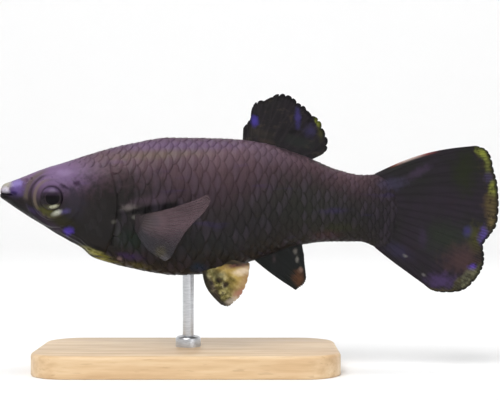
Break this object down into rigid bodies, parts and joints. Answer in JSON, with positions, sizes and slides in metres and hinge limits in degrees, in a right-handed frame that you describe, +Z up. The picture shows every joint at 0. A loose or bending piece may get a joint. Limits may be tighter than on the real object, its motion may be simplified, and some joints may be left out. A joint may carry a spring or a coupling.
{
  "type": "black molly fish model on a display stand",
  "caption": "Life-size still model of a female black molly, swimming level with spread fins, held over a flat wooden base by one short steel rod.",
  "frame": {"origin": "centre of the bounding box at the floor, which is the underside of the stand's base", "axes": "+Z up, -X towards the fish's snout, -Y towards its left flank"},
  "size_m": [0.08, 0.025, 0.044],
  "materials": {
    "molly_skin": "satin black skin with fine overlapping scales and a mauve sheen on the back",
    "eye_dark": "wet gloss, dark iris with a thin silver-olive ring",
    "fin_black": "soft black membrane over darker rays, olive at the tail's edge",
    "fin_gold": "pale gold membrane speckled with black",
    "fin_smoke": "smoky mauve membrane over fine rays",
    "stand_wood": "satin varnished pale maple",
    "stand_steel": "brushed"
  },
  "bodies": {
    "root": {"head": "molly_skin", "gill_cover_left": "molly_skin", "gill_cover_right": "molly_skin", "trunk": "molly_skin", "tail_stem": "molly_skin", "eye_left": "eye_dark", "eye_right": "eye_dark", "dorsal_fin": "fin_black", "anal_fin": "fin_black", "caudal_fin": "fin_black", "pelvic_fin_left": "fin_gold", "pelvic_fin_right": "fin_gold", "pectoral_fin_left": "fin_smoke", "pectoral_fin_right": "fin_smoke", "stand_base": "stand_wood", "stand_collar": "stand_steel", "stand_rod": "stand_steel"}
  },
  "joints": []
}
